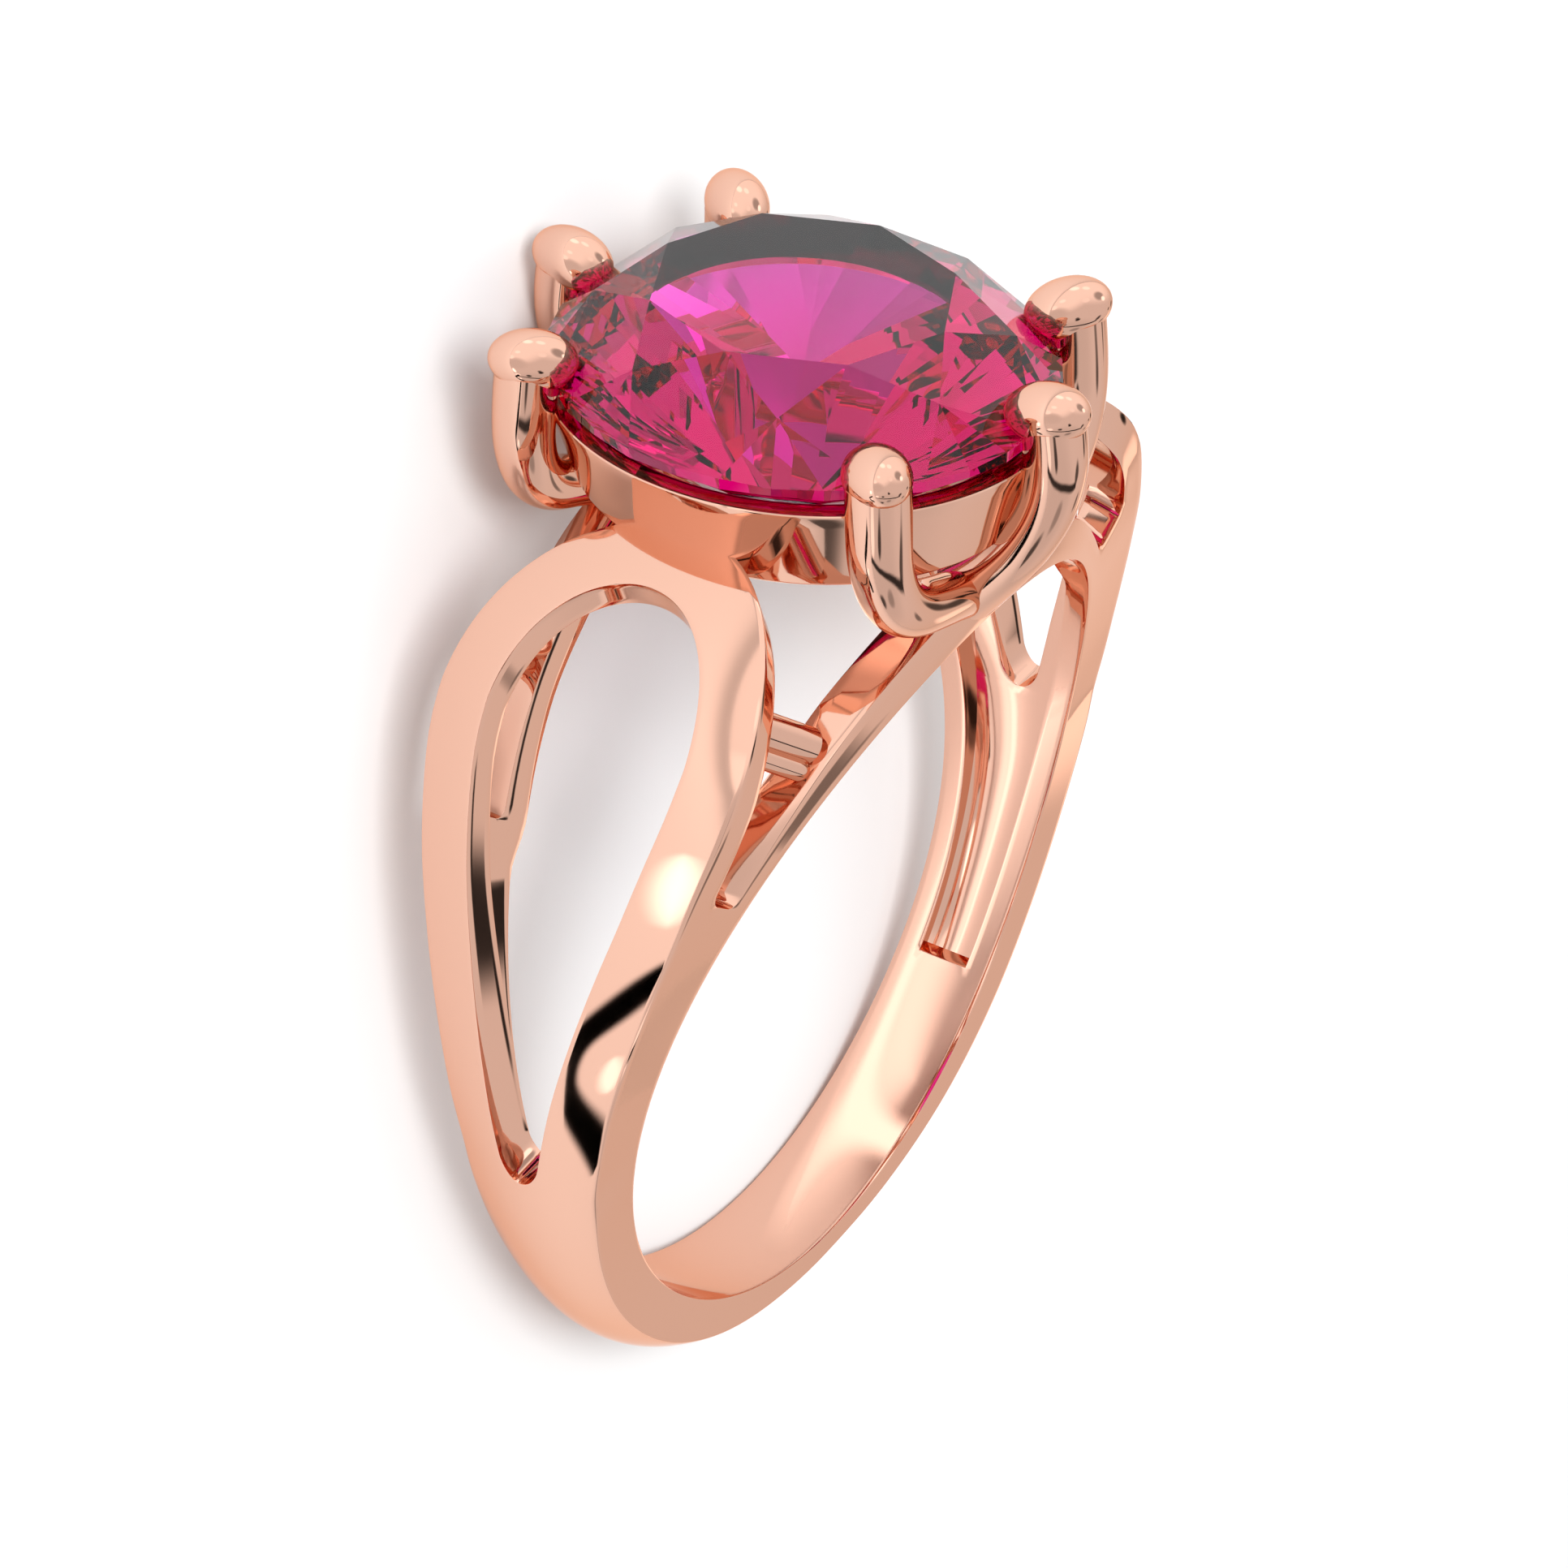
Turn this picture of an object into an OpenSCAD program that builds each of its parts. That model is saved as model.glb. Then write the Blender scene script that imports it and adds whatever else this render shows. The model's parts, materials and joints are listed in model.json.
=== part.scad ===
// Oval gemstone ring, lying on its side.
// A split shank rises in two pierced teardrop shoulders to an oval basket,
// and six claws hold one faceted stone. Sizes are millimetres.
//
// Each shape is drawn upright in the finger frame, which is:
// X across the shank, Y along the finger, Z from the finger up to the stone.
// Angles round the finger start at the bottom of the shank (0) and grow
// on both sides to the stone (180). lay_down() then puts it on the floor.

/* [Finger hole] */
// Inside diameter of the ring
hole_d = 17; // [16.4:0.1:17.6]
// Half width of the band at the bottom of the shank
band_half = 1.15; // [1.05:0.01:1.3]
// Extra half width that the rails gain from the shank up to the head
rail_flare = 2.94; // [2.6:0.01:3.2]

/* [Shoulders] */
// Widest half width of a teardrop shoulder
loop_half = 3.32; // [3.1:0.01:3.5]
// Widest half width of a teardrop opening
opening_half = 2.17; // [1.9:0.01:2.25]
// Width of each arm of a shoulder
arm_w = 1.18; // [1.1:0.01:1.3]
// Angle where a teardrop opening ends at the top
opening_top = 154.1; // [152:0.1:155]
// Angle where a teardrop opening starts at the bottom
opening_low = 89; // [86:0.5:92]
// Width of an inner rail beside the shank
rail_w_low = 0.55; // [0.5:0.01:0.65]
// Width of an inner rail under the head
rail_w_top = 0.9; // [0.8:0.01:1]
// Radius of the four short struts between shoulders and rails
strut_r = 0.42; // [0.35:0.01:0.5]

/* [Stone] */
// Length of the oval stone, along the finger
stone_l = 10.1; // [9.9:0.05:10.2]
// Width of the stone over its length
stone_ratio = 0.9; // [0.88:0.01:0.92]
// Height of the table above the middle of the finger hole
table_z = 14.63; // [14.5:0.01:14.8]
// Height of the top edge of the girdle
girdle_z = 13.1; // [13:0.01:13.2]
// Thickness of the girdle
girdle_t = 0.15; // [0.1:0.01:0.2]
// Depth of the pavilion below the girdle
pavilion_h = 3.85; // [3.6:0.05:3.95]
// Gap between the stone and the metal round it
stone_gap = 0.04; // [0.03:0.01:0.06]

/* [Head] */
// Height of the basket's top edge
basket_top_z = 12.62; // [12.5:0.01:12.75]
// Height of the basket's bottom edge
basket_low_z = 10.75; // [10.6:0.01:10.9]
// Half length of the hole inside the basket, under the stone
seat_hole = 3.15; // [3:0.05:3.4]
// Radius of a claw's shaft
claw_r = 0.62; // [0.56:0.01:0.66]

/* [Hidden] */
gold = [0.93, 0.70, 0.60];
ruby = [0.78, 0.12, 0.42];
hole_r = hole_d / 2;

// Evenly spaced values, and a point at an angle round the finger
function steps(from, to, n) = [for (i = [0:n]) from + (to - from) * i / n];
function polar(a, radius, y) = [radius * sin(a), y, -radius * cos(a)];

// Smooth value from a table of [angle, value] rows, by cubic Hermite pieces
function slope_at(t, i) = i <= 0 ? (t[1][1] - t[0][1]) / (t[1][0] - t[0][0])
    : i >= len(t) - 1 ? (t[i][1] - t[i - 1][1]) / (t[i][0] - t[i - 1][0])
    : (t[i + 1][1] - t[i - 1][1]) / (t[i + 1][0] - t[i - 1][0]);
function row_below(t, a, i = 0) =
    i >= len(t) - 2 || a < t[i + 1][0] ? i : row_below(t, a, i + 1);
function hermite(p0, m0, p1, m1, h, s) =
    p0 * (1 + 2 * s) * (1 - s) * (1 - s) + m0 * h * s * (1 - s) * (1 - s)
    + p1 * s * s * (3 - 2 * s) - m1 * h * s * s * (1 - s);
function smooth(t, a) = let (
        i = row_below(t, a), h = t[i + 1][0] - t[i][0], s = (a - t[i][0]) / h)
    hermite(t[i][1], slope_at(t, i), t[i + 1][1], slope_at(t, i + 1), h, s);

// Rows of [angle, radius] along the shank and shoulder
// Outer edge of the side faces
EDGE_ROWS = [[0, 9], [15, 9.12], [30, 9.33], [45, 9.5], [60, 9.6], [75, 9.68], [85, 9.77],
    [93, 9.88], [102, 10.05], [109, 10.2], [117, 10.45], [124, 10.75], [130, 11.04],
    [135, 11.31], [141, 11.59], [148, 11.8], [155, 11.93], [162, 12.03]];
// Rise of the outer surface from that edge to the middle line
CROWN_ROWS = [[0, 0.69], [30, 0.47], [60, 0.39], [90, 0.34], [120, 0.3], [162, 0.25]];
// Thickness of the outer layer above the recess, where its inside follows the crown
THICK_ROWS = [[46, 1.05], [60, 1.14], [70, 1.08], [80, 0.95], [90, 0.93], [100, 1.03],
    [110, 1], [118, 0.92], [126, 0.87], [137, 0.84], [144, 0.8], [150, 0.7], [162, 0.65]];
// Radius of a rail's outer surface above the slot, at its outer and at its inner edge
RAIL_OUT_ROWS = [[118, 9.1], [130, 9.05], [141, 9.17], [147, 9.32], [155, 9.42], [180, 9.45]];
RAIL_IN_ROWS = [[118, 9.4], [130, 9.42], [141, 9.4], [147, 9.36], [155, 9.42], [180, 9.48]];
// Width of a rail where it runs free over the finger hole
RAIL_W_ROWS = [[128, 0.78], [135, 0.81], [147, 0.84], [155, rail_w_top], [180, rail_w_top]];
// Width of the curved step that leads up to it inside the recess
STEP_ROWS = [[123.5, 0.5], [125, 0.57], [126.5, 0.68], [128, 0.78], [129, 0.81]];
// Half width of a shoulder below its widest place
ARM_ROWS = [[90, 1.55], [102, 1.93], [109, 2.2], [117, 2.54], [124, 2.86], [130, 3.08],
    [135, loop_half - 0.06], [139, loop_half]];

widest = 139;        // angle where a shoulder is widest
shoulder_top = 161.2; // angle where a shoulder's arch ends
recess_low = 46;     // angle where the recess between the rails ends
slot_low = 129;      // angle where the slot between rail and shoulder ends
recess_high = 131;   // angle up to which the recess is cut
rail_low = 128;      // angle where the wider rails leave the outer layer
flare_start = -6;    // height where the side faces start to spread
flare_run = 14.5;    // height over which they spread
flare_power = 2.12;

// Half width of the side faces, the same all along a radius
function rail_half(a) = band_half
    + rail_flare * pow(max(0, (-hole_r * cos(a) - flare_start) / flare_run), flare_power);
function quarter(a, from, to) = sqrt(max(0, 1 - pow((a - from) / (to - from), 2)));
function shoulder_half(a) = a < 90 ? rail_half(a)
    : a < widest ? smooth(ARM_ROWS, a)
    : loop_half * quarter(a, widest, shoulder_top);

low_round = 3.2;     // angle taken by the round lower end of an opening
function opening_at(a) = a <= opening_low || a >= opening_top ? 0
    : a > widest ? opening_half * quarter(a, widest, opening_top)
    : (shoulder_half(a) - arm_w) * opening_half / (loop_half - arm_w)
        * (a < opening_low + low_round ? quarter(a, opening_low + low_round, opening_low) : 1);

function edge_r(a) = smooth(EDGE_ROWS, a);
function crown(a) = smooth(CROWN_ROWS, a);
function outer_r(a, y, w) = edge_r(a) + crown(a) * (1 - pow(y / w, 2));
function floor_r(a, y, w) = outer_r(a, y, w) - smooth(THICK_ROWS, a);

// A solid from rings of points: every ring has the same number of points and
// turns counterclockwise when seen from the ring after it
function ring_faces(n, m) = concat(
    [for (i = [0:n - 2], j = [0:m - 1]) [i * m + j, (i + 1) * m + j, i * m + (j + 1) % m]],
    [for (i = [0:n - 2], j = [0:m - 1])
        [i * m + (j + 1) % m, (i + 1) * m + j, (i + 1) * m + (j + 1) % m]],
    [[for (j = [0:m - 1]) j]], [[for (j = [m - 1:-1:0]) (n - 1) * m + j]]);
module loft(rings) {
    polyhedron([for (r = rings) each r], ring_faces(len(rings), len(rings[0])), convexity = 6);
}

under_bore = 0.3;    // how far blanks reach into the finger hole before it is bored
crown_chords = 4;    // chords in each half of the crowned back
floor_chords = 2;    // chords in each half of the inside, which follows it
arch_end = 0.25;     // half width left at the end of a shoulder's arch
far_out = 14;        // radius outside everything
near_in = 7;         // radius inside everything

// Section of the outer layer at one angle: a plank with a crowned back
function plank(a) = let (n = abs(a), full = n <= slot_low,
        w = max(arch_end, shoulder_half(n)), wl = full ? min(w, rail_half(n)) : w)
    concat([for (y = steps(-w, w, 2 * crown_chords)) polar(a, outer_r(n, y, w), y)],
        [for (y = steps(wl, -wl, 2 * floor_chords))
            polar(a, full ? hole_r - under_bore : floor_r(n, y, w), y)]);
function box_section(a, lo, hi, y0, y1) =
    [polar(a, lo, y0), polar(a, hi, y0), polar(a, hi, y1), polar(a, lo, y1)];

// Angles of the sections, closer together where a shoulder's arch turns
half_angles = concat(steps(0, 120, 20), [124.5, slot_low, slot_low + 0.2],
    steps(133, 153, 5), steps(155, 160, 5), [160.7, shoulder_top]);
opening_angles = concat([89.2, 89.6, 90.2, 91, 92.2], steps(95, 140, 10), steps(143, 149, 2),
    [150.5, 152, 153, 153.6, 154]);
recess_angles = steps(recess_low, recess_high, 14);
rail_angles = steps(rail_low, 360 - rail_low, 30);

module outer_layer() {
    loft([for (a = [for (i = [len(half_angles) - 1:-1:1]) -half_angles[i], each half_angles])
        plank(a)]);
}
module opening_cut() {
    loft([for (a = opening_angles)
        box_section(a, near_in, far_out, -opening_at(a), opening_at(a))]);
}
module recess_cut() {
    loft([for (a = recess_angles) let (w = rail_half(a), yw = w - rail_w_low)
        concat([polar(a, near_in, -yw)],
            [for (y = steps(-yw, yw, 2 * floor_chords)) polar(a, floor_r(a, y, w), y)],
            [polar(a, near_in, yw)])]);
}
// Curved step at the foot of a rail, sunk into the wall of the recess
step_sink = 0.25;
module step() {
    loft([for (row = STEP_ROWS) let (a = row[0], w = rail_half(a))
        box_section(a, hole_r - under_bore, floor_r(a, w, w) + step_sink,
            w - row[1], w - step_sink)]);
}
// One rail runs over the finger hole on each side of the basket
function over_top(a) = a > 180 ? 360 - a : a;
module rail() {
    loft([for (a = rail_angles)
        let (b = over_top(a), w = rail_half(a), v = w - smooth(RAIL_W_ROWS, b))
        [polar(a, hole_r - under_bore, v), polar(a, smooth(RAIL_IN_ROWS, b), v),
            polar(a, smooth(RAIL_OUT_ROWS, b), w), polar(a, hole_r - under_bore, w)]]);
}

// Round bar along a list of [x, y, z, radius] rows, smoothed between them
function unit(v) = v / norm(v);
function catmull(p, i, s) = let (
        n = len(p) - 1, a = p[max(0, i - 1)], b = p[i], c = p[min(n, i + 1)], d = p[min(n, i + 2)])
    0.5 * ((2 * b) + (c - a) * s + (2 * a - 5 * b + 4 * c - d) * s * s
        + (3 * b - a - 3 * c + d) * s * s * s);
function through(p, n) = [for (i = [0:len(p) - 2], k = [0:n - 1]) catmull(p, i, k / n),
    p[len(p) - 1]];
function xyz(q) = [q[0], q[1], q[2]];
function disc(q, t, across, sides) = let (u = unit(cross(t, across)), v = cross(t, u))
    [for (k = [0:sides - 1]) xyz(q) + q[3] * (cos(360 * k / sides) * u + sin(360 * k / sides) * v)];
claw_sides = 14;
module bar(rows, across) {
    p = through(rows, 2);
    n = len(p) - 1;
    loft([for (i = [0:n]) disc(p[i],
        unit(xyz(p[min(n, i + 1)]) - xyz(p[max(0, i - 1)])), across, claw_sides)]);
}

// Claws, as rows of [x, y, z, radius] from the rail up to the tip
CORNER_CLAW = [[-0.3, -3.8, 9.2, 0.45], [-1, -3.9, 9.6, 0.5], [-1.9, -4, 10, 0.52],
    [-2.75, -4.02, 10.4, 0.56], [-3.35, -4, 11, 0.58], [-3.64, -3.95, 11.8, 0.6],
    [-3.66, -3.9, 12.6, claw_r], [-3.6, -3.84, 13.5, claw_r]];
END_CLAW = [[0, -3.7, 9.2, 0.7], [0, -4.4, 10, 0.62], [0, -4.95, 10.8, 0.6],
    [0, -5.35, 11.7, 0.6], [0, -5.5, 12.6, claw_r], [0, -5.4, 13.5, claw_r]];
nose_len = 0.87;     // half length of the egg-shaped tip
nose_h = 0.58;       // half height of it
nose_over = 0.02;    // how much wider it is than the shaft, on each side
nose_in = 0.12;      // how far its middle lies in from the shaft
nose_up = 0.12;      // how far its middle lies above the end of the shaft
nose_dip = 12;       // degrees that it points down to the stone
module nose(p) {
    inward = -[p[0], p[1]] / norm([p[0], p[1]]);
    translate([p[0] + nose_in * inward[0], p[1] + nose_in * inward[1], p[2] + nose_up])
        rotate([0, 0, atan2(inward[1], inward[0])])
            rotate([0, nose_dip, 0])
                scale([nose_len, claw_r + nose_over, nose_h])
                    sphere(r = 1, $fn = 16);
}
module claw(rows, across) {
    bar(rows, across);
    nose(rows[len(rows) - 1]);
}
module mirrored(x, y) {
    mirror([x, 0, 0])
        mirror([0, y, 0])
            children();
}

// Oval basket: a band that narrows downwards, thick enough inside for the seat that
// is cut to the back of the stone
BASKET_TOP = [4.63, 5.15];
BASKET_LOW = [4.1, 4.6];
function oval(size, z, n = 48) = [for (k = [0:n - 1])
    [size[0] * cos(360 * k / n), size[1] * sin(360 * k / n), z]];
module basket() {
    over = 0.1;
    hole = [stone_ratio * seat_hole, seat_hole];
    difference() {
        loft([oval(BASKET_LOW, basket_low_z), oval(BASKET_TOP, basket_top_z)]);
        loft([oval(hole, basket_low_z - over), oval(hole, basket_top_z + over)]);
    }
}

// Strut between a shoulder's arm and the rail beside it
strut_up = [-6.1, -2.5, 9.1];
strut_down = [-4.85, -3.1, 8.05];
module strut() {
    v = strut_up - strut_down;
    translate(strut_down)
        rotate([0, acos(v[2] / norm(v)), atan2(v[1], v[0])])
            cylinder(r = strut_r, h = norm(v), $fn = 32);
}

// Brilliant-cut oval: table, 8 stars, 8 kites, 16 upper and 16 lower halves, 8 mains
table_half = 3.06;
star_half = 4.12;
star_drop = 0.56;    // how far the star tips lie below the table
junction = 0.22;     // radius of the lower-half tips over the girdle's
scallop = 0.035;     // how much the girdle thickens between the ends of the ridges
function height_on(p, q, r, v) = let (n = cross(q - p, r - p))
    p[2] - (n[0] * (v[0] - p[0]) + n[1] * (v[1] - p[1])) / n[2];
function at(a, b, z) = [stone_ratio * b * cos(a), b * sin(a), z];
function stone_points(grow) = let (
        b = stone_l / 2 + grow, top = girdle_z + grow, low = girdle_z - girdle_t - grow,
        up = table_z + grow, culet = low - pavilion_h - grow,
        star = star_half + grow, rows = [for (k = [0:7]) 45 * k])
    concat(
        [for (a = rows) at(a, table_half + grow / 2, up)],
        [for (a = rows) at(a + 22.5, star, up - star_drop)],
        [for (i = [0:31]) at(11.25 * i, b, i % 2 == 0 ? top : top + scallop)],
        [for (i = [0:31]) at(11.25 * i, b, i % 2 == 0 ? low : low - scallop)],
        [for (a = rows) at(a + 22.5, b * junction, culet + (low - culet) * junction * cos(22.5))],
        [[0, 0, culet]]);
function g(i) = 16 + (i + 32) % 32;
function h(i) = 48 + (i + 32) % 32;
function stone_faces() = let (m = 88) concat(
    [[for (k = [7:-1:0]) k]],
    [for (k = [0:7]) [k, (k + 1) % 8, 8 + k]],
    [for (k = [0:7]) each [[k, 8 + k, g(4 * k)], [k, g(4 * k), 8 + (k + 7) % 8]]],
    [for (k = [0:7], i = [0:3]) [8 + k, g(4 * k + i + 1), g(4 * k + i)]],
    [for (i = [0:31]) each [[g(i), g(i + 1), h(i)], [g(i + 1), h(i + 1), h(i)]]],
    [for (k = [0:7], i = [0:3]) [80 + k, h(4 * k + i), h(4 * k + i + 1)]],
    [for (k = [0:7]) each [[80 + k, m, h(4 * k)], [80 + (k + 7) % 8, h(4 * k), m]]]);
module stone_shape(grow = 0) {
    polyhedron(stone_points(grow), stone_faces(), convexity = 4);
}

// Lying on its far side: turned about the bottom of the shank until the far end
// claw comes down too
claw_side = [6.058, 12.05]; // how far out and how high the far claw touches
rest_pitch = atan((claw_side[0] - band_half) / (claw_side[1] + EDGE_ROWS[0][1]));
rest_lift = band_half * cos(rest_pitch) + EDGE_ROWS[0][1] * sin(rest_pitch);
rest_shift = 2.82;   // from the finger hole to the middle of the outline on the floor
module lay_down() {
    translate([0, rest_shift, rest_lift])
        rotate([-rest_pitch, 0, 0])
            rotate([-90, 0, 180])
                children();
}

module ring_mount() {
    color(gold)
        lay_down()
            difference() {
                union() {
                    difference() {
                        outer_layer();
                        for (x = [0, 1])
                            mirrored(x, 0) {
                                opening_cut();
                                recess_cut();
                            }
                    }
                    for (y = [0, 1])
                        mirrored(0, y)
                            rail();
                    basket();
                    for (x = [0, 1], y = [0, 1])
                        mirrored(x, y) {
                            claw(CORNER_CLAW, [0, 1, 0]);
                            strut();
                            step();
                        }
                    for (y = [0, 1])
                        mirrored(0, y)
                            claw(END_CLAW, [1, 0, 0]);
                }
                rotate([90, 0, 0])
                    cylinder(r = hole_r, h = 30, center = true, $fn = 180);
                stone_shape(stone_gap);
            }
}
module center_stone() {
    color(ruby)
        lay_down()
            stone_shape();
}
ring_mount();
center_stone();
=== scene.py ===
"""A rose gold ring with an oval ruby, lying on its far side: its finish, floor, light and camera.

Shapes are worked out upright, in the finger frame, in millimetres: X across the
shank, Y along the finger and Z up to the stone. Angles go round the finger from
the bottom of the shank (0) to the stone (180), in degrees. LAY_DOWN then takes a
shape to where the ring lies in the frame, in metres.
"""
import json
import math

import bmesh
import bpy
import numpy as np
from mathutils import Matrix, Vector


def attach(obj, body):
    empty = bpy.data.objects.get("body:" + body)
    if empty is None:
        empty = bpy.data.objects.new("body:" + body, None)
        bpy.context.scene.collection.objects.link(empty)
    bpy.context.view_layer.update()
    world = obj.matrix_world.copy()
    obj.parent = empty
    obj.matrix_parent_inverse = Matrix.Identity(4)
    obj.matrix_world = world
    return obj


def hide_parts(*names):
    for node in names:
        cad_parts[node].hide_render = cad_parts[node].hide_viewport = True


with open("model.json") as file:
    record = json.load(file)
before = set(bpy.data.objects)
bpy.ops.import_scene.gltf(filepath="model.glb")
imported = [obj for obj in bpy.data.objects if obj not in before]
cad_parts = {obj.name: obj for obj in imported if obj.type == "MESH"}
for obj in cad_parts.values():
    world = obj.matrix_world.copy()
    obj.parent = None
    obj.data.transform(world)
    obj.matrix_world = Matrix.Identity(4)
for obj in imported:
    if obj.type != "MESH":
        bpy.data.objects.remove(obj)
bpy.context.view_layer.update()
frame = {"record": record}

# Where the ring lies: its finger hole in the frame
MM = 0.001
hole = next(m for m in frame["record"]["mounts"] if m["name"] == "finger_hole")
HOLE_R = hole["dims"]["r_mm"]
ACROSS = Vector((-1, 0, 0))
ALONG = -Vector(hole["axis"]).normalized()
UPRIGHT = ACROSS.cross(ALONG)
TURN = Matrix((ACROSS, ALONG, UPRIGHT)).transposed()
LAY_DOWN = Matrix.Translation(hole["pos_m"]) @ TURN.to_4x4() @ Matrix.Scale(MM, 4)

# The camera, in the finger frame: the way to it and its roll in degrees, its distance, and
# how far it is moved sideways and up, in millimetres
CAMERA = {"azimuth": -57.834, "elevation": 37.041, "roll": 0.134, "distance": 86.552,
          "right": -0.341, "up": 2.369, "focal_px": 5115.77}
PHOTO_PX = 1932
SENSOR = 36


def direction(azimuth, elevation):
    """The unit vector to an azimuth, 0 along -Y and 90 along X, and an elevation in degrees."""
    a, e = math.radians(azimuth), math.radians(elevation)
    return Vector((math.sin(a) * math.cos(e), -math.cos(a) * math.cos(e), math.sin(e)))


# Angles at which values round the finger are kept, in steps of a tenth of a degree
FINE = np.arange(-60, 240.01, 0.1)


def table(rows, blur=3.0):
    """(angle, value) rows joined up and blurred over a few degrees, the same on both halves."""
    angles, values = np.array(rows, float).T
    folded = np.minimum(np.abs(FINE), 360 - np.abs(FINE))
    line = np.interp(folded, angles, values)
    reach = np.arange(-30 * blur, 30 * blur + 1) / 10
    kernel = np.exp(-0.5 * (reach / blur) ** 2)
    line = np.convolve(line, kernel / kernel.sum(), "same")
    return lambda a: np.interp(a, FINE, line)


def polar(a, y, r):
    """Points on the near left quarter, from angles, half widths and radii."""
    a = np.radians(a)
    return np.stack(np.broadcast_arrays(-r * np.sin(a), -y, -r * np.cos(a)), -1)


# The band and shoulders, as in the part's source. Tables give radii (edge_r, rail_out_r,
# rail_in_r), how far the outside is crowned, how thick the metal is and half widths
WIDEST = 139         # angle where a shoulder is widest
SHOULDER_TOP = 161.2
OPENING_TOP = 154.1
OPENING_LOW = 89
LOW_ROUND = 3.2      # angle taken by the opening's round lower end
SLOT_LOW = 129       # angle where the slot between rail and shoulder ends
RECESS_LOW = 46      # angle where the recess between the rails ends
RECESS_SLOPE = 1.6   # angle by which that end leans
RECESS_FADE = 5      # angle over which the lean fades
LOOP_HALF = 3.32     # half width of a shoulder at its widest
OPENING_HALF = 2.17
ARM_W = 1.18
BAND_HALF = 1.15
FLARE_START = -6     # height where the side faces start to spread
FLARE_RUN = 14.5     # height over which they spread
FLARE_MORE = 2.94    # half width that they gain
FLARE_POWER = 2.12
NEAR = 1e-6          # room for rounding when angles are compared
edge_r = table([(0, 9), (15, 9.12), (30, 9.33), (45, 9.5), (60, 9.6), (75, 9.68), (85, 9.77),
                (93, 9.88), (102, 10.05), (109, 10.2), (117, 10.45), (124, 10.75), (130, 11.04),
                (135, 11.31), (141, 11.59), (148, 11.8), (155, 11.93), (162, 12.03), (170, 12.1)])
crown = table([(0, 0.69), (30, 0.47), (60, 0.39), (90, 0.34), (120, 0.3), (162, 0.25)])
thick = table([(46, 1.05), (60, 1.14), (70, 1.08), (80, 0.95), (90, 0.93), (100, 1.03), (110, 1),
               (118, 0.92), (126, 0.87), (137, 0.84), (144, 0.8), (150, 0.7), (162, 0.65)])
rail_out_r = table([(118, 9.1), (130, 9.05), (141, 9.17), (147, 9.32), (155, 9.42), (180, 9.45)])
rail_in_r = table([(118, 9.4), (130, 9.42), (141, 9.4), (147, 9.36), (155, 9.42), (180, 9.48)])
rail_w = table([(0, 0.55), (123, 0.55), (128.5, 0.8), (135, 0.81), (147, 0.84), (155, 0.9),
                (180, 0.9)], blur=1.2)


def rail_half(a):
    """Half width at the finger, of the band and of the rails."""
    rise = np.maximum(0, (-HOLE_R * np.cos(np.radians(a)) - FLARE_START) / FLARE_RUN)
    return BAND_HALF + FLARE_MORE * rise ** FLARE_POWER


shoulder = table([(a, float(rail_half(a))) for a in range(0, 86, 5)]
                 + [(90, 1.55), (102, 1.93), (109, 2.2), (117, 2.54), (124, 2.86), (130, 3.08),
                    (135, 3.26), (139, 3.32), (150, 3.32)], blur=1.5)


def opening(a):
    """Half width of the teardrop opening below its widest place."""
    low = np.clip((OPENING_LOW + LOW_ROUND - a) / LOW_ROUND, 0, 1)
    wide = np.maximum(0, shoulder(a) - ARM_W) * OPENING_HALF / (LOOP_HALF - ARM_W)
    return np.where(a <= OPENING_LOW, 0, wide * np.sqrt(1 - low ** 2))


class Rows:
    """Rows across one arm of a shoulder, each from the opening's edge (in) to the side (out).

    lean is how much a side face draws in for each millimetre towards the finger,
    side_floor the radius on it level with the inside, and half_low the half width there.
    """

    def __init__(self, a_in, a_out, half_in, half_out):
        self.a_in, self.a_out = a_in, a_out
        self.half_in, self.half_out = half_in, half_out
        self.across_in = np.where(a_in > WIDEST, OPENING_HALF / LOOP_HALF,
                                  half_in / half_out.clip(0.1))
        self.edge = edge_r(a_out)
        at_slot = float(edge_r(SLOT_LOW))
        lean_here = (half_out - rail_half(a_out)) / (self.edge - HOLE_R)
        lean_slot = float(shoulder(SLOT_LOW) - rail_half(SLOT_LOW)) / (at_slot - HOLE_R)
        fade = np.clip((WIDEST - a_out) / (WIDEST - SLOT_LOW), 0, 1)
        self.lean = np.where(a_out <= SLOT_LOW, lean_here, lean_slot * fade)
        share = (at_slot - float(thick(SLOT_LOW)) - HOLE_R) / (at_slot - HOLE_R)
        self.side_floor = np.where(a_out <= SLOT_LOW, HOLE_R + (self.edge - HOLE_R) * share,
                                   self.edge - thick(a_out))
        self.half_low = self.side_half(self.side_floor)

    def side_half(self, r):
        """Half width of the side face at a radius."""
        return self.half_out - self.lean * (self.edge - r)

    def outer(self, t):
        """The crowned outside at shares of the way from the opening's edge to the side."""
        a = self.a_in[:, None] + (self.a_out - self.a_in)[:, None] * t
        half = self.half_in[:, None] + (self.half_out - self.half_in)[:, None] * t
        across = self.across_in[:, None] + (1 - self.across_in)[:, None] * t
        return a, half, edge_r(a) + crown(a) * (1 - across ** 2)

    def floor(self, half):
        """The inside at given half widths, one row of them for each row."""
        run = np.where(self.half_low > self.half_in, self.half_low - self.half_in, 1)[:, None]
        a, _, r = self.outer((half - self.half_in[:, None]) / run)
        end_slope = RECESS_SLOPE * np.clip(1 - (self.a_out - RECESS_LOW) / RECESS_FADE, 0, 1)
        return a + end_slope[:, None], half, r - thick(a)

    def part(self, keep):
        """The rows that keep marks."""
        return Rows(self.a_in[keep], self.a_out[keep], self.half_in[keep], self.half_out[keep])


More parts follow.
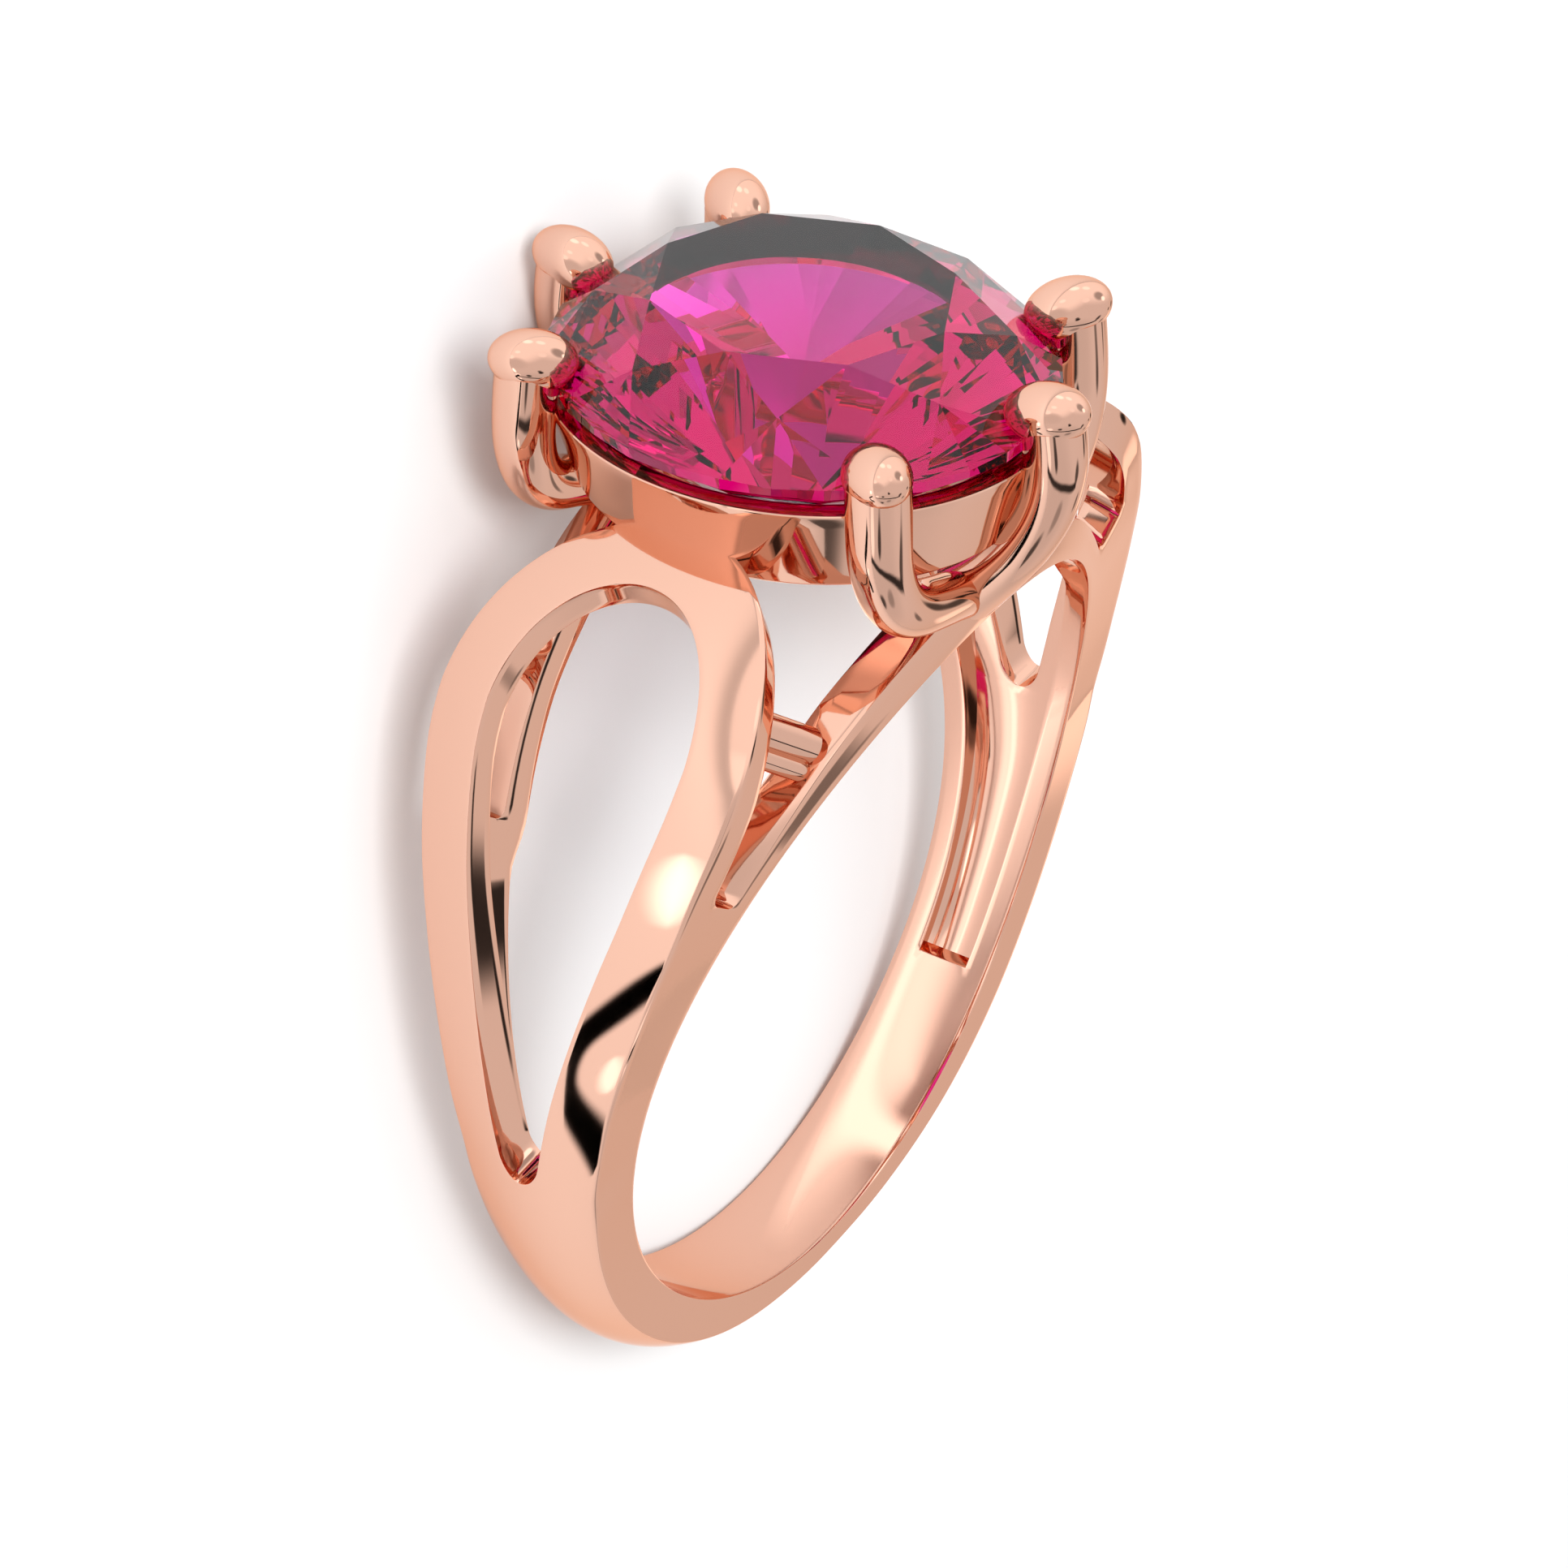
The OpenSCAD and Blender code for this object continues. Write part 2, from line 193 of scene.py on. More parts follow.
def all_rows():
    """Rows from the bottom of the shank over a shoulder's widest place to the top of its arch."""
    low = np.concatenate([
        np.linspace(0, RECESS_LOW, 32)[:-1], np.linspace(RECESS_LOW, OPENING_LOW, 30)[:-1],
        OPENING_LOW + LOW_ROUND * (1 - np.cos(np.linspace(0, np.pi / 2, 9)))[:-1],
        np.linspace(OPENING_LOW + LOW_ROUND, SLOT_LOW, 20)[:-1], np.linspace(SLOT_LOW, WIDEST, 6)])
    turn = np.linspace(0, np.pi / 2, 31)[1:]
    a_in = np.concatenate([low, WIDEST + (OPENING_TOP - WIDEST) * np.sin(turn)])
    a_out = np.concatenate([low, WIDEST + (SHOULDER_TOP - WIDEST) * np.sin(turn)])
    half_in = np.concatenate([opening(low), OPENING_HALF * np.cos(turn)])
    half_out = np.concatenate([shoulder(low), LOOP_HALF * np.cos(turn)])
    return Rows(a_in, a_out, half_in, half_out)


def between(first, last, count):
    """Columns of points evenly from one line of points to another."""
    t = np.linspace(0, 1, count + 1)[None, :, None]
    return first[:, None, :] * (1 - t) + last[:, None, :] * t


def band_grids():
    """The skin of a quarter of the band, shoulder and rail: grids of points with shared edges."""
    rows = all_rows()
    a = rows.a_out
    low_rows = rows.part(a <= SLOT_LOW + NEAR)
    low = low_rows.a_out
    free = np.linspace(SLOT_LOW, 180, 28)
    share_out = (float(rail_out_r(SLOT_LOW)) - HOLE_R) / (float(edge_r(SLOT_LOW)) - HOLE_R)
    level_out = HOLE_R + (low_rows.edge - HOLE_R) * share_out
    half = rail_half(low)
    free_half = rail_half(free)
    foot = half - rail_w(low)
    free_foot = free_half - rail_w(free)

    t = np.linspace(0, 1, 13)
    grids = [polar(*rows.outer(t))]
    side_top = polar(rows.a_out, rows.half_out, rows.edge)
    side_mid = polar(rows.a_out, rows.half_low, rows.side_floor)
    grids.append(between(side_top, side_mid, 4))

    open_rows = rows.part(a >= OPENING_LOW - NEAR)
    lip = polar(*[v[:, 0] for v in open_rows.outer(np.zeros(1))])
    foot_in = polar(*[v[:, 0] for v in open_rows.floor(open_rows.half_in[:, None])])
    grids.append(between(lip, foot_in, 4))

    # Inside of the shoulder: first up to the foot of the recess's wall, then on above the slot
    inner_rows = rows.part(a >= RECESS_LOW - NEAR)
    inner = inner_rows.a_out
    slot_row = rows.part(np.abs(a - SLOT_LOW) < NEAR)
    slot_foot = float(rail_half(SLOT_LOW) - rail_w(SLOT_LOW))
    slot_share = (slot_foot - slot_row.half_in[0]) / (slot_row.half_low[0] - slot_row.half_in[0])
    wall = np.where(inner <= SLOT_LOW + NEAR, rail_half(inner) - rail_w(inner),
                    inner_rows.half_in + (inner_rows.half_low - inner_rows.half_in) * slot_share)
    u = np.linspace(0, 1, 7)
    inside = inner_rows.half_in[:, None] * (1 - u) + wall[:, None] * u
    floor_grid = polar(*inner_rows.floor(inside))
    grids.append(floor_grid)
    u = np.linspace(0, 1, 5)
    upper = inner_rows.part(inner >= SLOT_LOW - NEAR)
    upper_wall = wall[inner >= SLOT_LOW - NEAR]
    upper_grid = polar(*upper.floor(upper_wall[:, None] * (1 - u) + upper.half_low[:, None] * u))
    grids.append(upper_grid)

    # Side faces down to the finger, and the rails above the slots
    low_mid = polar(low, low_rows.half_low, low_rows.side_floor)
    low_out = polar(low, low_rows.side_half(level_out), level_out)
    low_bore = polar(low, half, np.full_like(low, HOLE_R))
    grids += [between(low_mid, low_out, 3), between(low_out, low_bore, 3)]
    spread = float(low_rows.side_half(level_out)[-1] - half[-1])
    fade = np.clip((WIDEST - free) / (WIDEST - SLOT_LOW), 0, 1)
    free_out = polar(free, free_half + spread * fade, rail_out_r(free))
    free_bore = polar(free, free_half, np.full_like(free, HOLE_R))
    grids.append(between(free_out, free_bore, 3))
    bore_in = polar(low, foot, np.full_like(low, HOLE_R))
    free_bore_in = polar(free, free_foot, np.full_like(free, HOLE_R))
    grids += [between(low_bore, bore_in, 4), between(free_bore, free_bore_in, 4)]
    full = low <= RECESS_LOW + NEAR
    middle = polar(low[full], np.zeros(full.sum()), np.full(full.sum(), HOLE_R))
    full_bore = between(bore_in[full], middle, 6)
    grids.append(full_bore)

    deep = low >= RECESS_LOW - NEAR
    floor_foot = floor_grid[:deep.sum(), -1]
    slot_floor = np.linalg.norm(floor_foot[-1, ::2])
    share_in = (float(rail_in_r(SLOT_LOW)) - HOLE_R) / (slot_floor - HOLE_R)
    wall_mid = bore_in[deep] * (1 - share_in) + floor_foot * share_in
    free_in = polar(free, free_foot, rail_in_r(free))
    grids += [between(bore_in[deep], wall_mid, 3), between(wall_mid, floor_foot, 3),
              between(free_bore_in, free_in, 3)]
    rail_top = between(free_in, free_out, 4)
    grids.append(rail_top)

    # The bottom of the slot, and the end of the recess
    t = np.linspace(1, 0, 4)[:, None, None]
    grids.append(upper_grid[0][None] * t + rail_top[0][None] * (1 - t))
    bottom = full_bore[-1][::-1]
    levels = np.concatenate([np.linspace(0, share_in, 4), np.linspace(share_in, 1, 4)[1:]])
    levels = levels[:, None, None]
    grids.append(bottom[None] * (1 - levels) + floor_grid[0][None] * levels)
    return grids


def add_grid(bm, points, flip=(1, 1)):
    """A grid of quads through rows of points, mirrored across X and Y where flip says so."""
    rows, columns, _ = points.shape
    verts = [bm.verts.new((p[0] * flip[0], p[1] * flip[1], p[2])) for p in points.reshape(-1, 3)]
    for i in range(rows - 1):
        for j in range(columns - 1):
            k = i * columns + j
            bm.faces.new((verts[k], verts[k + 1], verts[k + columns + 1], verts[k + columns]))


# The signs of X and Y that mirror one quarter to all four
QUARTERS = ((1, 1), (-1, 1), (1, -1), (-1, -1))
MERGE = 0.002               # points closer than this are one
SHARP = math.radians(32)    # an outward edge that turns more than this gets a bevel
CREASE = math.radians(40)   # and any edge that turns more than this is shaded as sharp
BAND_EDGE = 0.06            # widths of the bevels
BASKET_EDGE = 0.07
SLOT_ROUND = 0.27
SAME_ANGLE = 0.1            # degrees


def bevel_sharp(bm, width, segments=2):
    """Rounds each sharp outward edge by a small bevel."""
    sharp = [e for e in bm.edges if len(e.link_faces) == 2 and e.calc_face_angle(0) > SHARP
             and e.is_convex]
    bmesh.ops.bevel(bm, geom=sharp, offset=width, segments=segments, profile=0.6,
                    affect="EDGES", clamp_overlap=True)


def round_slots(bm):
    """Rounds the two inside edges across the lower end of each slot."""
    def at_end(vert):
        return abs(math.degrees(math.atan2(abs(vert.co.x), -vert.co.z)) - SLOT_LOW) < SAME_ANGLE
    inside = [e for e in bm.edges if len(e.link_faces) == 2 and not e.is_convex
              and e.calc_face_angle(0) > SHARP and at_end(e.verts[0]) and at_end(e.verts[1])]
    bmesh.ops.bevel(bm, geom=inside, offset=SLOT_ROUND, segments=5, profile=0.5, affect="EDGES",
                    clamp_overlap=True)


def to_piece(bm, name, material, smooth=True):
    """Lays a finished shape down in the frame as a piece of the ring."""
    bmesh.ops.recalc_face_normals(bm, faces=bm.faces)
    mesh = bpy.data.meshes.new(name)
    bm.to_mesh(mesh)
    bm.free()
    mesh.transform(LAY_DOWN)
    mesh.materials.append(material)
    piece = bpy.data.objects.new(name, mesh)
    bpy.context.scene.collection.objects.link(piece)
    if smooth:
        mesh.shade_smooth()
        mesh.set_sharp_from_angle(angle=CREASE)
        weighted = piece.modifiers.new("even_shading", "WEIGHTED_NORMAL")
        weighted.keep_sharp = True
        weighted.weight = 80
    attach(piece, "root")
    return piece


def band(material):
    bm = bmesh.new()
    for grid in band_grids():
        for flip in QUARTERS:
            add_grid(bm, grid, flip)
    bmesh.ops.remove_doubles(bm, verts=bm.verts, dist=MERGE)
    bmesh.ops.dissolve_degenerate(bm, edges=bm.edges, dist=MERGE / 10)
    bmesh.ops.recalc_face_normals(bm, faces=bm.faces)
    round_slots(bm)
    bevel_sharp(bm, BAND_EDGE)
    return to_piece(bm, "band", material)


# The head: claws, basket and struts
TUBE_SIDES = 28
CLAW_STEPS = 8       # points of a claw's curve from one of its rows to the next


def add_loft(bm, rings):
    """A closed tube through rings of points, capped at both ends."""
    columns = [[bm.verts.new(p) for p in ring] for ring in rings]
    count = len(rings[0])
    for first, second in zip(columns, columns[1:]):
        for j in range(count):
            k = (j + 1) % count
            bm.faces.new((first[j], first[k], second[k], second[j]))
    bm.faces.new(columns[0][::-1])
    bm.faces.new(columns[-1])


def smooth_path(rows, steps):
    """A smoothed curve along rows of numbers, with a number of steps from row to row."""
    p = np.array(rows, float)
    n = len(p)
    out = []
    for i in range(n - 1):
        a, b, c, d = p[max(0, i - 1)], p[i], p[i + 1], p[min(n - 1, i + 2)]
        for s in np.arange(steps) / steps:
            out.append(0.5 * (2 * b + (c - a) * s + (2 * a - 5 * b + 4 * c - d) * s ** 2
                              + (3 * b - a - 3 * c + d) * s ** 3))
    out.append(p[-1])
    out = np.array(out)
    for _ in range(steps):
        out[1:-1] = (out[:-2] + 2 * out[1:-1] + out[2:]) / 4
    return out


def tube_rings(path, across):
    """Round sections square to a path of x, y, z and radius rows."""
    centre, radius = path[:, :3], path[:, 3]
    along = np.gradient(centre, axis=0)
    along /= np.linalg.norm(along, axis=1)[:, None]
    side = np.cross(along, np.array(across, float))
    side /= np.linalg.norm(side, axis=1)[:, None]
    other = np.cross(along, side)
    turn = np.linspace(0, 2 * np.pi, TUBE_SIDES, endpoint=False)
    return [c + r * (np.cos(turn)[:, None] * u + np.sin(turn)[:, None] * v)
            for c, r, u, v in zip(centre, radius, side, other)]


CLAW_R = 0.62
CORNER_CLAW = [(-0.3, -3.8, 9.2, 0.45), (-1, -3.9, 9.6, 0.5), (-1.9, -4, 10, 0.52),
               (-2.75, -4.02, 10.4, 0.56), (-3.35, -4, 11, 0.58), (-3.64, -3.95, 11.8, 0.6),
               (-3.66, -3.9, 12.6, CLAW_R), (-3.6, -3.84, 13.5, CLAW_R)]
END_CLAW = [(0, -3.7, 9.2, 0.7), (0, -4.4, 10, 0.62), (0, -4.95, 10.8, 0.6),
            (0, -5.35, 11.7, 0.6), (0, -5.5, 12.6, CLAW_R), (0, -5.4, 13.5, CLAW_R)]
# Half sizes of a claw's nose, how far its middle lies in and up from the tip, and its dip
NOSE = {"length": 0.87, "width": 0.64, "height": 0.58, "in": 0.12, "up": 0.12, "dip": 12}


def add_nose(bm, tip, flip):
    """The egg-shaped end of a claw, pointing down a little to the stone."""
    inward = -Vector((tip[0], tip[1])).normalized()
    centre = Vector((tip[0] + NOSE["in"] * inward[0], tip[1] + NOSE["in"] * inward[1],
                     tip[2] + NOSE["up"]))
    turn = Matrix.Rotation(math.atan2(inward[1], inward[0]), 4, "Z")
    dip = Matrix.Rotation(math.radians(NOSE["dip"]), 4, "Y")
    size = Matrix.Diagonal((NOSE["length"], NOSE["width"], NOSE["height"], 1))
    mirror = Matrix.Diagonal((flip[0], flip[1], 1, 1))
    bmesh.ops.create_uvsphere(bm, u_segments=36, v_segments=24, radius=1,
                              matrix=mirror @ Matrix.Translation(centre) @ turn @ dip @ size)


def claws(material):
    bm = bmesh.new()
    for rows, across, flips in ((CORNER_CLAW, (0, 1, 0), QUARTERS),
                                (END_CLAW, (1, 0, 0), ((1, 1), (1, -1)))):
        for flip in flips:
            mirror = np.array([flip[0], flip[1], 1])
            rings = tube_rings(smooth_path(rows, CLAW_STEPS), across)
            add_loft(bm, [ring * mirror for ring in rings])
            add_nose(bm, rows[-1][:3], flip)
    return to_piece(bm, "claws", material)


# The basket's rims: half sizes across and along the finger, and height
BASKET_TOP = (4.63, 5.15, 12.62)
BASKET_LOW = (4.1, 4.6, 10.75)
SEAT_TOP = (4.2, 4.67, 12.62)
SEAT_LOW = (2.83, 3.15, 11.4)
BASKET_SIDES = 144
SEAT_SHARE = 0.985   # share of the seat's top rim within which faces get painted shade: gold painted almost black


def basket(material, seat_shade_material):
    bm = bmesh.new()
    turn = np.linspace(0, 2 * np.pi, BASKET_SIDES, endpoint=False)

    def oval(half_x, half_y, z):
        return np.stack([half_x * np.cos(turn), half_y * np.sin(turn), np.full_like(turn, z)], -1)

    def wall(first, last):
        return [oval(*(np.array(first) * (1 - s) + np.array(last) * s))
                for s in np.linspace(0, 1, 7)]
    under = SEAT_LOW[:2] + BASKET_LOW[2:]
    rings = wall(BASKET_LOW, BASKET_TOP) + wall(SEAT_TOP, SEAT_LOW) + wall(SEAT_LOW, under)[1:]
    grid = np.array(rings + rings[:1])
    grid = np.concatenate([grid, grid[:, :1]], axis=1)
    add_grid(bm, grid)
    bmesh.ops.remove_doubles(bm, verts=bm.verts, dist=MERGE)
    bmesh.ops.recalc_face_normals(bm, faces=bm.faces)
    bevel_sharp(bm, BASKET_EDGE, 3)
    # Faces of the seat get the second material: painted shade, gold painted almost black
    for face in bm.faces:
        middle = face.calc_center_median()
        reach = math.hypot(middle.x / SEAT_TOP[0], middle.y / SEAT_TOP[1])
        face.material_index = int(reach < SEAT_SHARE and face.normal.z > 0.1)
    piece = to_piece(bm, "basket", material)
    piece.data.materials.append(seat_shade_material)
    return piece


# A double strut's two ends, and the offset and radius of each of its two rods
STRUT = [(-4.85, -3.1, 8.05), (-6.1, -2.5, 9.1)]
STRUT_LOBES = [((0.1, 0.0, 0.1), 0.36), ((-0.22, 0.0, -0.26), 0.24)]


def struts(material):
    bm = bmesh.new()
    for flip in QUARTERS:
        mirror = np.array([flip[0], flip[1], 1])
        for offset, radius in STRUT_LOBES:
            ends = [np.append(np.array(p) + offset, radius) for p in STRUT]
            add_loft(bm, [ring * mirror for ring in tube_rings(np.array(ends), (0, 0, 1))])
    return to_piece(bm, "struts", material)


# The stone: table, 8 stars, 8 kites, 16 upper and 16 lower halves, girdle, 8 mains
GIRDLE_SIDES = 32
STONE = {"half": 5.05, "ratio": 0.9, "table": 3.06, "star": 4.12, "table_z": 14.63,
         "star_drop": 0.56, "girdle_z": 13.1, "girdle_t": 0.15, "girdle_wave": 0.035,
         "depth": 3.85, "junction": 0.22}


def stone_point(angle, half, z):
    """A corner of a facet on the oval of a half length and a height."""
    a = math.radians(angle)
    return Vector((STONE["ratio"] * half * math.cos(a), half * math.sin(a), z))


def ruby_stone(material):
    bm = bmesh.new()
    half, low = STONE["half"], STONE["girdle_z"] - STONE["girdle_t"]
    culet = low - STONE["depth"]
    step = 360 / GIRDLE_SIDES
    tip_z = culet + STONE["depth"] * STONE["junction"] * math.cos(math.radians(2 * step))
    eight = [4 * step * k for k in range(8)]
    top = [bm.verts.new(stone_point(a, STONE["table"], STONE["table_z"])) for a in eight]
    star_z = STONE["table_z"] - STONE["star_drop"]
    star = [bm.verts.new(stone_point(a + 2 * step, STONE["star"], star_z)) for a in eight]
    wave = [STONE["girdle_wave"] * (i % 2) for i in range(GIRDLE_SIDES)]
    upper = [bm.verts.new(stone_point(step * i, half, STONE["girdle_z"] + wave[i]))
             for i in range(GIRDLE_SIDES)]
    lower = [bm.verts.new(stone_point(step * i, half, low - wave[i]))
             for i in range(GIRDLE_SIDES)]
    tips = [bm.verts.new(stone_point(a + 2 * step, half * STONE["junction"], tip_z))
            for a in eight]
    end = bm.verts.new((0, 0, culet))
    bm.faces.new(top)
    for k in range(8):
        n = (k + 1) % 8
        p = (k + 7) % 8
        bm.faces.new((top[k], star[k], top[n]))
        bm.faces.new((top[k], upper[4 * k], star[k]))
        bm.faces.new((top[k], star[p], upper[4 * k]))
        bm.faces.new((end, tips[k], lower[4 * k]))
        bm.faces.new((end, lower[4 * k], tips[p]))
        for i in range(4):
            j = 4 * k + i
            after = (j + 1) % GIRDLE_SIDES
            bm.faces.new((star[k], upper[j], upper[after]))
            bm.faces.new((tips[k], lower[after], lower[j]))
    for i in range(GIRDLE_SIDES):
        after = (i + 1) % GIRDLE_SIDES
        bm.faces.new((upper[i], lower[i], lower[after], upper[after]))
    return to_piece(bm, "ruby_stone", material, smooth=False)


# Materials
def shader(name):
    """A new material, its nodes and its Principled shader."""
    material = bpy.data.materials.new(name)
    material.use_nodes = True
    return material, material.node_tree, material.node_tree.nodes["Principled BSDF"]


def noise(tree, scale, detail=2):
    """Fine noise fixed to the object, as the socket of its value."""
    place = tree.nodes.new("ShaderNodeTexCoord")
    grain = tree.nodes.new("ShaderNodeTexNoise")
    grain.inputs["Scale"].default_value = scale
    grain.inputs["Detail"].default_value = detail
    tree.links.new(place.outputs["Object"], grain.inputs["Vector"])
    return grain.outputs["Fac"]


def rose_gold():
    """Polished rose gold, with the faint unevenness of hand polishing."""
    material, tree, bsdf = shader("polished_rose_gold")
    bsdf.inputs["Metallic"].default_value = 1
    bsdf.inputs["Base Color"].default_value = (0.79, 0.467, 0.353, 1)
    bsdf.inputs["Specular Tint"].default_value = (0.92, 0.68, 0.56, 1)
    polish = tree.nodes.new("ShaderNodeMapRange")
    polish.inputs["To Min"].default_value = 0.03
    polish.inputs["To Max"].default_value = 0.07
    tree.links.new(noise(tree, scale=700, detail=3), polish.inputs["Value"])
    tree.links.new(polish.outputs["Result"], bsdf.inputs["Roughness"])
    return material


def seat_painted_shade():
    """The seat under the stone, its gold painted almost black as painted shade, so that it shows
    dark through the stone.
    """
    material, tree, bsdf = shader("seat_painted_shade_gold")
    bsdf.inputs["Metallic"].default_value = 1
    bsdf.inputs["Roughness"].default_value = 0.04
    shade = tree.nodes.new("ShaderNodeValToRGB")
    shade.color_ramp.elements[0].color = (0.055, 0.03, 0.024, 1)
    shade.color_ramp.elements[1].color = (0.07, 0.038, 0.03, 1)
    tree.links.new(noise(tree, scale=3000), shade.inputs["Fac"])
    tree.links.new(shade.outputs["Color"], bsdf.inputs["Base Color"])
    return material


def ruby():
    """Clear stone whose colour comes from the path that light takes in it, a little zoned."""
    material, tree, bsdf = shader("ruby")
    tint = tree.nodes.new("ShaderNodeValToRGB")
    tint.color_ramp.elements[0].position = 0.35
    tint.color_ramp.elements[0].color = (0.88, 0.97, 0.98, 1)
    tint.color_ramp.elements[1].position = 0.65
    tint.color_ramp.elements[1].color = (0.95, 1, 1, 1)
    tree.links.new(noise(tree, scale=400), tint.inputs["Fac"])
    tree.links.new(tint.outputs["Color"], bsdf.inputs["Base Color"])
    bsdf.inputs["Roughness"].default_value = 0
    bsdf.inputs["IOR"].default_value = 1.77
    bsdf.inputs["Transmission Weight"].default_value = 1
    bsdf.inputs["Specular Tint"].default_value = (0.5, 0.5, 0.5, 1)
    depth = tree.nodes.new("ShaderNodeVolumeAbsorption")
    depth.inputs["Color"].default_value = (0.95, 0.05, 0.77, 1)
    depth.inputs["Density"].default_value = 820
    tree.links.new(depth.outputs["Volume"], tree.nodes["Material Output"].inputs["Volume"])
    return material


gold = rose_gold()
pieces = [band(gold), claws(gold), basket(gold, seat_painted_shade()), struts(gold)]
for piece in pieces:
    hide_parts("ring_mount")
stone = ruby_stone(ruby())
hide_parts("center_stone")


# Floor, light and camera. In the frame, azimuth 0 lies beyond the head and 90 beyond
# one side of the shank
def floor():
    bpy.ops.mesh.primitive_plane_add(size=4)
    plane = bpy.context.object
    plane.name = "floor"
    material, _, bsdf = shader("pale_floor")
    bsdf.inputs["Base Color"].default_value = (0.805, 0.815, 0.82, 1)
    bsdf.inputs["Roughness"].default_value = 0.9
    bsdf.inputs["Specular IOR Level"].default_value = 0.1
    plane.data.materials.append(material)


# The brightness of the room, and soft patches in it: a name, azimuth and elevation, the
# angle inside which the patch is full and the one beyond which it is gone, and its brightness
ROOM = 0.86
PATCHES = [
    ("bright wall", 325, 15, 25, 70, 1.3),
    ("bright corner", 25, 15, 15, 50, 1.3),
    ("dim wall", 152, 20, 15, 42, 0.75),
    ("dim side", 72, 15, 8, 28, 0.8),
    ("side panel", 213.6, 17, 1.5, 5, 0.25),
    ("narrow black panel", 234.5, 25.5, 1.5, 4.5, 0.03),
    ("black post", 126, 22.6, 2.5, 6, 0.08),
    ("second post", 117, 50.5, 1.5, 5, 0.2),
    ("third post", 126, 49, 2.5, 6, 0.03),
    ("grey panel", 156, 1.5, 3, 8, 0.1),
    ("grey panel top", 165, 20, 3, 9, 0.4),
    ("high black panel", 202.5, 41, 3, 8, 0.12),
    ("far black panel", 244, 12, 2.5, 7, 0.1),
    ("dim ceiling", 308, 50, 8, 18, 0.5),
    ("low lamp", 229, 3, 3, 8, 1.6),
    ("side lamp", 118, 4, 3, 7, 1.5),
    ("camera lamp", 48, 3, 4, 9, 1.5),
    ("small lamp", 26, 12, 3, 7, 1.6),
    ("head lamp", 343, 6, 4, 9, 1.9),
    ("second head lamp", 330, 18.6, 4, 8, 1.7),
    ("back lamp", 284, 52, 4, 9, 2),
    ("top lamp", 5, 53, 4, 10, 1.3),
]


def studio():
    """The room that the ring mirrors. The camera itself sees plain white round the floor."""
    world = bpy.data.worlds.new("studio")
    bpy.context.scene.world = world
    world.use_nodes = True
    nodes, links = world.node_tree.nodes, world.node_tree.links
    look = nodes.new("ShaderNodeTexCoord")
    room = nodes.new("ShaderNodeValue")
    room.outputs[0].default_value = ROOM
    level = room.outputs[0]
    for name, azimuth, elevation, inside, outside, bright in PATCHES:
        toward = nodes.new("ShaderNodeVectorMath")
        toward.label = name
        toward.operation = "DOT_PRODUCT"
        toward.inputs[1].default_value = direction(azimuth, elevation)
        links.new(look.outputs["Generated"], toward.inputs[0])
        reach = nodes.new("ShaderNodeMapRange")
        reach.interpolation_type = "SMOOTHSTEP"
        reach.inputs["From Min"].default_value = math.cos(math.radians(outside))
        reach.inputs["From Max"].default_value = math.cos(math.radians(inside))
        links.new(toward.outputs["Value"], reach.inputs["Value"])
        mixed = nodes.new("ShaderNodeMix")
        links.new(reach.outputs["Result"], mixed.inputs["Factor"])
        links.new(level, mixed.inputs[2])
        mixed.inputs[3].default_value = bright
        level = mixed.outputs[0]
    sky = nodes["Background"]
    links.new(level, sky.inputs["Strength"])
    sky.inputs["Color"].default_value = (1, 1, 1, 1)
    plain = nodes.new("ShaderNodeBackground")
    plain.inputs["Color"].default_value = (1, 1, 1, 1)
    seen = nodes.new("ShaderNodeLightPath")
    chosen = nodes.new("ShaderNodeMixShader")
    links.new(seen.outputs["Is Camera Ray"], chosen.inputs["Fac"])
    links.new(sky.outputs["Background"], chosen.inputs[1])
    links.new(plain.outputs["Background"], chosen.inputs[2])
    links.new(chosen.outputs["Shader"], nodes["World Output"].inputs["Surface"])


KEY = {"azimuth": 45, "elevation": 54, "distance": 0.25, "size": 0.1, "power": 0.42}


def key_light():
    """One large soft lamp that gives the ring its shadow on the floor."""
    light = bpy.data.lights.new("key", "AREA")
    light.size = KEY["size"]
    light.energy = KEY["power"]
    lamp = bpy.data.objects.new("key", light)
    lamp.visible_glossy = lamp.visible_transmission = False
    toward = direction(KEY["azimuth"], KEY["elevation"])
    lamp.location = toward * KEY["distance"]
    lamp.rotation_euler = toward.to_track_quat("Z", "Y").to_euler()
    bpy.context.scene.collection.objects.link(lamp)


# Cards beside the ring, seen only in its polish. A card's rows are a place along its side
# and one along its up, a width, all in millimetres, and how solid it is there, from 0 to 1
CARD_STEPS = 6       # points of a card's curve from one of its rows to the next


def upright(azimuth, distance):
    """Where a card stands, square to an azimuth: its middle, its side and its up."""
    out = direction(azimuth, 0)
    return out * distance, Vector((-out.y, out.x, 0)), Vector((0, 0, 1))


def lying(x, y, azimuth, height=0.1):
    """Where a card lies just over the floor, with its side along an azimuth."""
    side = direction(azimuth, 0)
    return Vector((x, y, height)), side, Vector((-side.y, side.x, 0))


